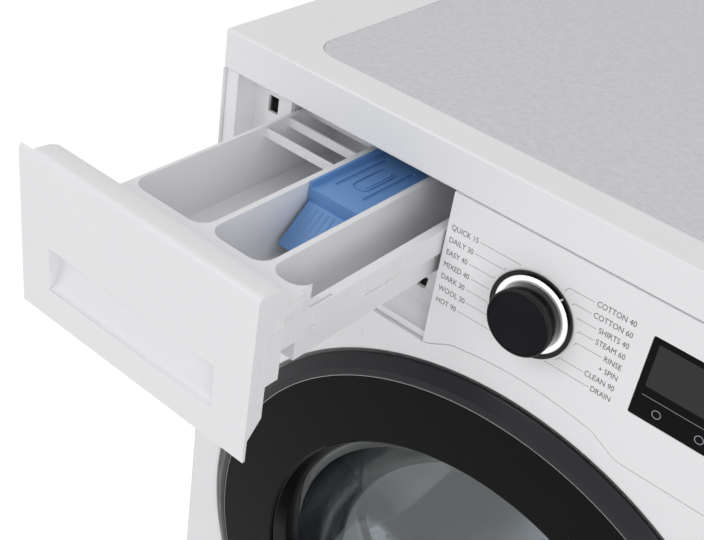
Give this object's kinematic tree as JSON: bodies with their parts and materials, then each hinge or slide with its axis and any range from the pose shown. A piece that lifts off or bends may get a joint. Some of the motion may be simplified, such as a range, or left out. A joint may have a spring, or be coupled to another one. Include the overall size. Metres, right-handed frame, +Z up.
{
  "type": "front load washing machine",
  "caption": "Front-loading washing machine, detergent drawer pulled out, round glass door, programme dial, display, drum, tub, belt drive and levelling feet.",
  "frame": {"origin": "on the floor under the middle of the bounding box of the machine with its drawer pulled out", "axes": "+X to the machine's right side as seen from its front, +Y from its front to its back, +Z up"},
  "size_m": [0.6, 0.735, 0.85],
  "materials": {
    "white_enamel": "smooth enamel",
    "white_plastic": "semi-gloss moulded",
    "grey_laminate": "fine woven emboss",
    "blue_plastic": "semi-gloss moulded",
    "black_plastic": "semi-gloss moulded",
    "spun_black": "dark anodised, radially spun face",
    "black_glass": "back-printed glass, polished",
    "clear_glass": "polished",
    "silver_trim": "satin",
    "steel": "zinc plated or stainless",
    "aluminium": "as cast",
    "grey_rubber": "matt",
    "black_rubber": "matt",
    "tub_plastic": "moulded",
    "concrete": "rough cast",
    "circuit": "lacquered board"
  },
  "bodies": {
    "cabinet": {"left_side_panel": "white_enamel", "right_side_panel": "white_enamel", "back_panel": "white_enamel", "rear_cover": "white_enamel", "front_panel": "white_enamel", "base_pan": "steel", "door_hinge_bracket": "steel", "bearing_front": "steel", "bearing_rear": "steel", "tub_spring_left": "steel", "tub_spring_right": "steel", "tub_damper_left": "steel", "tub_damper_right": "steel", "heater": "steel", "worktop_frame": "white_plastic", "control_panel": "white_plastic", "drawer_surround": "white_plastic", "dispenser_housing": "white_plastic", "worktop_inlay": "grey_laminate", "display_window": "black_glass", "control_board": "circuit", "dispenser_cover": "tub_plastic", "tub_front": "tub_plastic", "tub_rear": "tub_plastic", "inlet_valve": "tub_plastic", "drain_pump": "tub_plastic", "dispenser_hose": "black_rubber", "drive_belt": "black_rubber", "door_lock": "black_plastic", "drain_outlet": "black_plastic", "mains_gland": "black_plastic", "door_gasket": "grey_rubber", "motor": "aluminium", "counterweight_upper": "concrete", "counterweight_lower": "concrete"},
    "drawer": {"drawer_front": "white_plastic", "drawer_tray": "white_plastic"},
    "insert": {"softener_insert": "blue_plastic"},
    "door": {"door_ring": "black_plastic", "door_glass": "black_glass", "door_inner_ring": "black_plastic", "door_bowl": "clear_glass", "door_hinge_leaf": "steel"},
    "hook": {"door_hook": "steel"},
    "dial": {"dial_knob": "spun_black", "dial_light_ring": "silver_trim", "dial_ring": "black_plastic"},
    "drum": {"drum": "steel", "drum_paddle_1": "tub_plastic", "drum_paddle_2": "tub_plastic", "drum_paddle_3": "tub_plastic", "drum_spider": "aluminium", "drum_pulley": "aluminium"},
    "rotor": {"motor_pulley": "steel"},
    "flap": {"service_flap": "white_plastic"},
    "filter": {"filter_cap": "tub_plastic"},
    "foot_1": {"levelling_foot_1": "black_rubber"},
    "foot_2": {"levelling_foot_2": "black_rubber"},
    "foot_3": {"levelling_foot_3": "black_rubber"},
    "foot_4": {"levelling_foot_4": "black_rubber"}
  },
  "joints": [
    {"name": "drawer_slide", "type": "slide", "parent": "cabinet", "child": "drawer", "axis": [0, 1, 0], "range_m": [0, 0.185]},
    {"name": "insert_lift", "type": "slide", "parent": "drawer", "child": "insert", "axis": [0, 0, 1], "range_m": [0, 0.012]},
    {"name": "door_hinge", "type": "hinge", "parent": "cabinet", "child": "door", "pos_m": [-0.257, -0.1815, 0.418], "axis": [0, 0, -1], "range_deg": [0, 105]},
    {"name": "hook_turn", "type": "hinge", "parent": "door", "child": "hook", "pos_m": [0.23, -0.1825, 0.418], "axis": [0, 0, 1], "range_deg": [-6, 6], "stiffness_Nm_per_rad": 0.3},
    {"name": "dial_turn", "type": "hinge", "parent": "cabinet", "child": "dial", "pos_m": [-0.006, -0.1825, 0.7609], "axis": [0, -1, 0], "continuous": true},
    {"name": "drum_spin", "type": "hinge", "parent": "cabinet", "child": "drum", "pos_m": [0, -0.0585, 0.418], "axis": [0, 1, 0], "continuous": true},
    {"name": "motor_spin", "type": "hinge", "parent": "cabinet", "child": "rotor", "pos_m": [-0.11, 0.3215, 0.092], "axis": [0, 1, 0], "continuous": true},
    {"name": "flap_hinge", "type": "hinge", "parent": "cabinet", "child": "flap", "pos_m": [0.2125, -0.1815, 0.0457], "axis": [1, 0, 0], "range_deg": [0, 85]},
    {"name": "filter_turn", "type": "hinge", "parent": "cabinet", "child": "filter", "pos_m": [0.2125, -0.1825, 0.091], "axis": [0, -1, 0], "continuous": true},
    {"name": "foot_1_turn", "type": "hinge", "parent": "cabinet", "child": "foot_1", "pos_m": [-0.25, -0.1225, 0], "axis": [0, 0, 1], "continuous": true},
    {"name": "foot_2_turn", "type": "hinge", "parent": "cabinet", "child": "foot_2", "pos_m": [-0.25, 0.3075, 0], "axis": [0, 0, 1], "continuous": true},
    {"name": "foot_3_turn", "type": "hinge", "parent": "cabinet", "child": "foot_3", "pos_m": [0.25, -0.1225, 0], "axis": [0, 0, 1], "continuous": true},
    {"name": "foot_4_turn", "type": "hinge", "parent": "cabinet", "child": "foot_4", "pos_m": [0.25, 0.3075, 0], "axis": [0, 0, 1], "continuous": true}
  ],
  "couplings": [
    {"joint": "motor_spin", "follows": "drum_spin", "ratio": 12.22}
  ]
}
